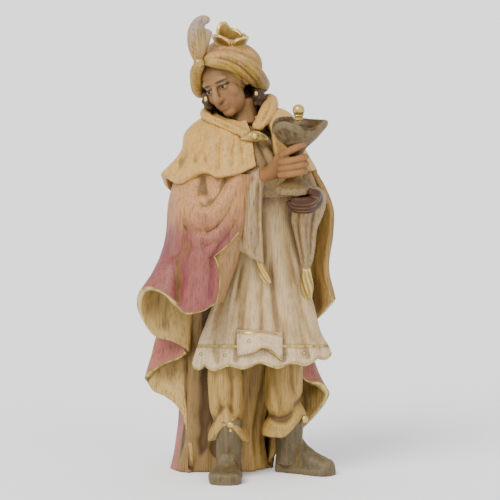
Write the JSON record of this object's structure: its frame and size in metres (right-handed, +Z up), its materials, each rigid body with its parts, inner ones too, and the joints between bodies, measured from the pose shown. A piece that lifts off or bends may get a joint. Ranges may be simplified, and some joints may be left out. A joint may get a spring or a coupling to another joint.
{
  "type": "nativity figurine",
  "caption": "Carved and painted wooden nativity figurine of a standing wise man in turban, shoulder cape and long cloak, holding a covered dish.",
  "frame": {"origin": "on the flat underside, in the middle of the cloak's foot, level with the soles", "axes": "+Z up from the underside to the plume, -Y towards the front that the boots and the dish face, +X towards the figure's left hand"},
  "size_m": [0.0676, 0.0589, 0.1598],
  "materials": {
    "cloak_rose": "satin",
    "lining_ochre": "satin",
    "cape_cream": "satin",
    "tunic_white": "satin",
    "trouser_tan": "satin",
    "skin_brown": "satin",
    "hair_dark": "satin",
    "dish_grey": "satin",
    "boot_olive": "satin",
    "plume_lilac": "satin",
    "gilding": "satin"
  },
  "bodies": {
    "root": {"wise_man": "cloak_rose"}
  },
  "joints": []
}
